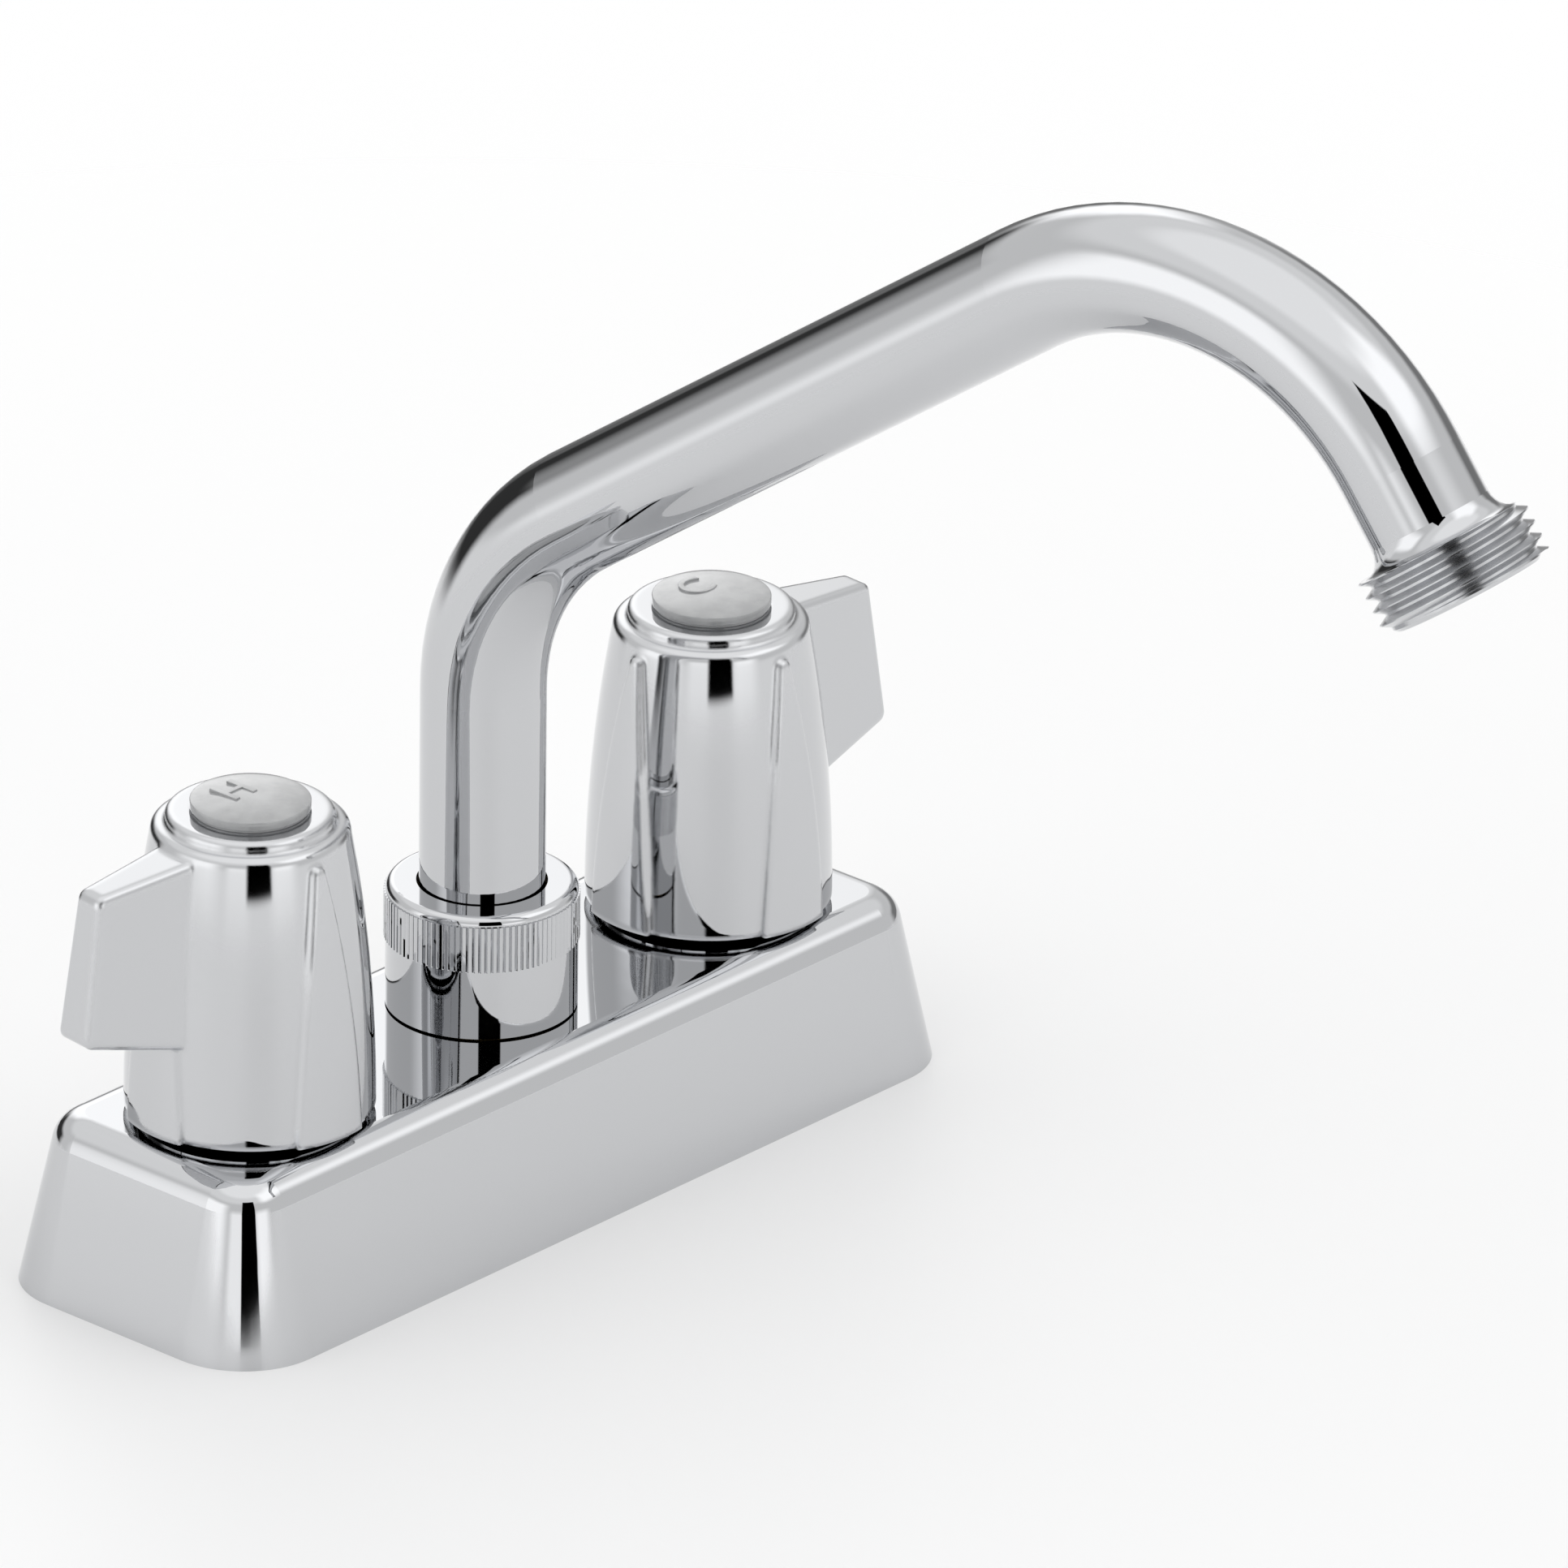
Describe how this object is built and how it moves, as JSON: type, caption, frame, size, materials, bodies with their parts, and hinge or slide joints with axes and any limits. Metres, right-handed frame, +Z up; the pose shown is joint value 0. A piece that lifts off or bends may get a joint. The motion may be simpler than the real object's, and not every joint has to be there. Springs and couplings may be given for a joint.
{
  "type": "utility sink faucet",
  "caption": "Two-handle chrome utility sink faucet with lever-fin handles, a swinging tube spout and a garden hose thread outlet",
  "frame": {"origin": "On the sink deck plane, midway between the two inlet shanks", "axes": "+X towards the cold handle, -Y towards the user and the spout, +Z up out of the deck"},
  "size_m": [0.1698, 0.2095, 0.2243],
  "materials": {
    "chrome_plate": "Bright chrome plating on brass and zinc, mirror smooth",
    "brass": "Turned brass, plain",
    "nitrile_rubber": "Moulded black rubber",
    "copper_tube": "Drawn copper tube",
    "stainless_steel": "Plain stainless steel, turned or drawn",
    "acetal": "White moulded acetal",
    "clear_acrylic": "Clear moulded acrylic over a pale ground",
    "fibre_gasket": "Black moulded gasket sheet"
  },
  "bodies": {
    "faucet_body": {"base_cover": "chrome_plate", "deck_gasket": "fibre_gasket", "hot_valve_body": "brass", "cold_valve_body": "brass", "hot_waterway_tube": "copper_tube", "cold_waterway_tube": "copper_tube", "hot_valve_seat": "nitrile_rubber", "cold_valve_seat": "nitrile_rubber", "hot_seat_spring": "stainless_steel", "cold_seat_spring": "stainless_steel", "hot_bonnet_nut": "brass", "cold_bonnet_nut": "brass", "spout_hub": "brass", "spout_nut": "chrome_plate", "slip_washer": "acetal", "lock_washers": "stainless_steel", "lock_nuts": "brass"},
    "hot_side": {"hot_handle": "chrome_plate", "hot_valve_stem": "acetal", "hot_stem_o_ring": "nitrile_rubber", "hot_handle_screw": "stainless_steel", "hot_index_button": "clear_acrylic"},
    "cold_side": {"cold_handle": "chrome_plate", "cold_valve_stem": "acetal", "cold_stem_o_ring": "nitrile_rubber", "cold_handle_screw": "stainless_steel", "cold_index_button": "clear_acrylic"},
    "spout": {"spout_tube": "chrome_plate", "spout_ferrule": "brass", "spout_o_rings": "nitrile_rubber", "hose_outlet": "chrome_plate"}
  },
  "joints": [
    {"name": "hot_handle_turn", "type": "hinge", "parent": "faucet_body", "child": "hot_side", "pos_m": [-0.0508, 0, 0.05], "axis": [0, 0, 1], "range_deg": [0, 90]},
    {"name": "cold_handle_turn", "type": "hinge", "parent": "faucet_body", "child": "cold_side", "pos_m": [0.0508, 0, 0.05], "axis": [0, 0, -1], "range_deg": [0, 90]},
    {"name": "spout_swing", "type": "hinge", "parent": "faucet_body", "child": "spout", "pos_m": [0, 0, 0.035], "axis": [0, 0, 1], "continuous": true}
  ]
}
